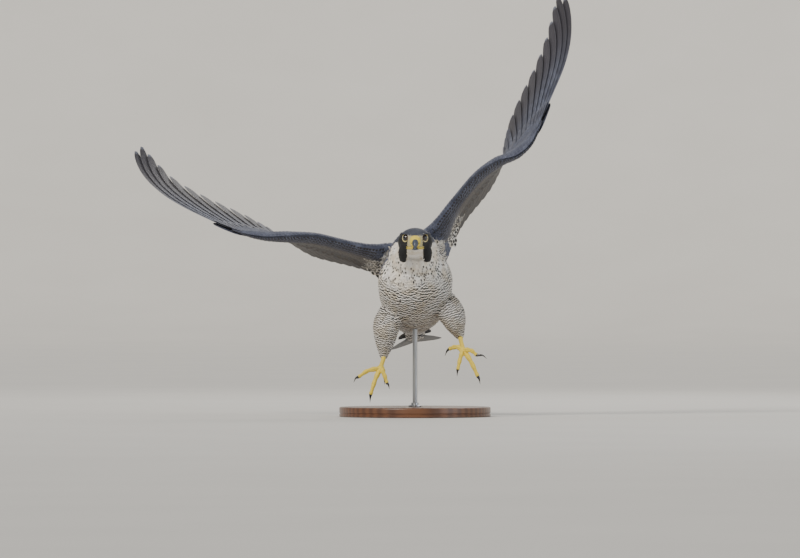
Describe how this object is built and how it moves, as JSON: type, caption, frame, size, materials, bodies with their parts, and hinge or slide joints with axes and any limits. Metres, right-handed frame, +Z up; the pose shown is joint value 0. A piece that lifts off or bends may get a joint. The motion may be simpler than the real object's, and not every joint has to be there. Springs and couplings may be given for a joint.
{
  "type": "peregrine falcon in flight on a display stand",
  "caption": "Life-size still model of a flying falcon with raised wings and lowered legs, held by one rod on a round base.",
  "frame": {"origin": "centre of the underside of the stand's base", "axes": "+Z up; the bird flies toward -Y, and its left side is on +X"},
  "size_m": [0.7221, 0.3997, 0.6959],
  "materials": {
    "plumage_slate": "blue-grey feathers of crown, back and wings, matt",
    "plumage_breast": "cream feathers with dark spots and bars, matt",
    "bare_skin": "yellow scaly skin of cere, eye rings and feet",
    "horn": "dark blue-grey horn of bill and claws, smooth",
    "eye": "very dark brown, wet and clear",
    "stand_wood": "dark stained hardwood, satin",
    "stand_steel": "satin brushed"
  },
  "bodies": {
    "root": {"torso": "plumage_breast", "neck": "plumage_slate", "head": "plumage_slate", "tail": "plumage_slate", "wing_right": "plumage_slate", "wing_left": "plumage_slate", "thigh_right": "plumage_breast", "thigh_left": "plumage_breast", "cere": "bare_skin", "tarsus_right": "bare_skin", "tarsus_left": "bare_skin", "foot_right": "bare_skin", "foot_left": "bare_skin", "bill_upper": "horn", "bill_lower": "horn", "claw_outer_right": "horn", "claw_middle_right": "horn", "claw_inner_right": "horn", "claw_hind_right": "horn", "claw_outer_left": "horn", "claw_middle_left": "horn", "claw_inner_left": "horn", "claw_hind_left": "horn", "eye_right": "eye", "eye_left": "eye", "stand_base": "stand_wood", "stand_rod": "stand_steel"}
  },
  "joints": []
}
